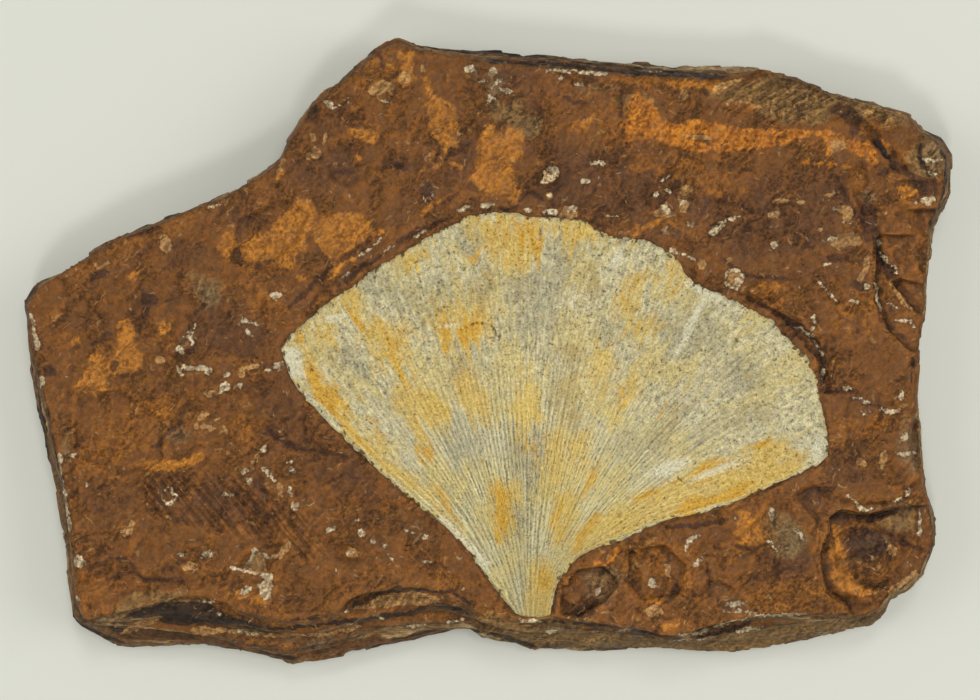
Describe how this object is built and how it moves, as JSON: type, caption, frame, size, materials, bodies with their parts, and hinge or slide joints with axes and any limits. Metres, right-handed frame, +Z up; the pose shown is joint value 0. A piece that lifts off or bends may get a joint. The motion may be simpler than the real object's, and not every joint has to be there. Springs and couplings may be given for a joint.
{
  "type": "fossil ginkgo leaf on shale slab",
  "caption": "Fan-shaped fossil leaf compression lying in the split face of a loose, broken slab of brown shale that rests flat.",
  "frame": {"origin": "under the middle of the slab, on the surface it rests on", "axes": "+X along the slab's long side to the leaf's right, +Y from the leaf's stalk end towards its fan, +Z up out of the leaf's face"},
  "size_m": [0.1292, 0.087, 0.0151],
  "materials": {
    "shale": "split siliceous shale, fine grained, dull to slightly waxy",
    "leaf_compression": "matte mineralised leaf film with fine raised veins"
  },
  "bodies": {
    "root": {"rock_slab": "shale", "ginkgo_leaf": "leaf_compression"}
  },
  "joints": []
}
